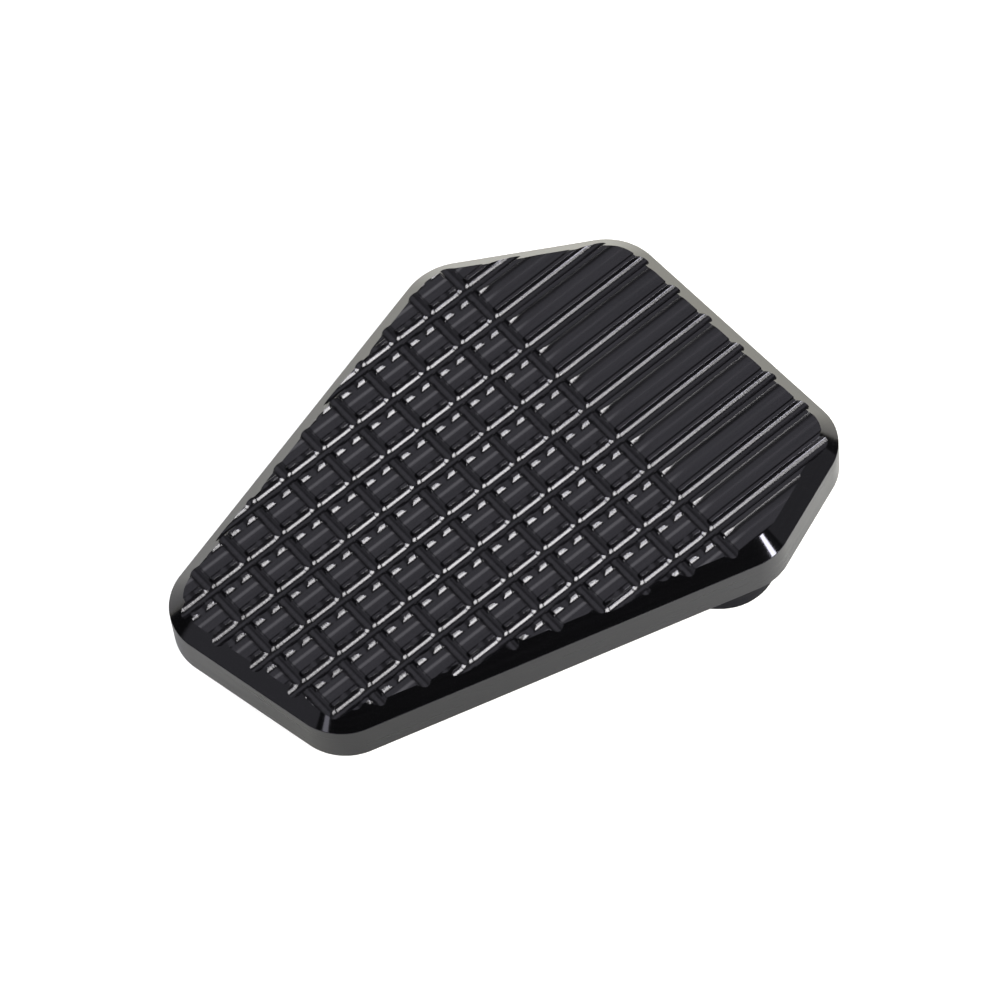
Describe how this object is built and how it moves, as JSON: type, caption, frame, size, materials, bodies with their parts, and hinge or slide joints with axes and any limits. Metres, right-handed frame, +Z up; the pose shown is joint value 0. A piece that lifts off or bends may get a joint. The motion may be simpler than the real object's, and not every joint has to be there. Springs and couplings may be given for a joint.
{
  "type": "brake pedal extension",
  "caption": "Elongated angular tread pad with a bevelled edge and milled grip grooves, screwed to a clamp plate that holds it over a motorbike's brake pedal.",
  "frame": {"origin": "centre of the part's outline in plan, on the surface that its screw heads stand on", "axes": "+X along the long grooves from the narrow end to the wide end, +Z up through the tread, +Y to the left"},
  "size_m": [0.0706, 0.0532, 0.02],
  "materials": {
    "black_anodised": "satin anodised",
    "stainless_steel": "turned"
  },
  "bodies": {
    "root": {"tread_pad": "black_anodised", "clamp_plate": "black_anodised", "spacer_1": "black_anodised", "spacer_2": "black_anodised", "spacer_3": "black_anodised", "screw_1": "stainless_steel", "screw_2": "stainless_steel", "screw_3": "stainless_steel"}
  },
  "joints": []
}
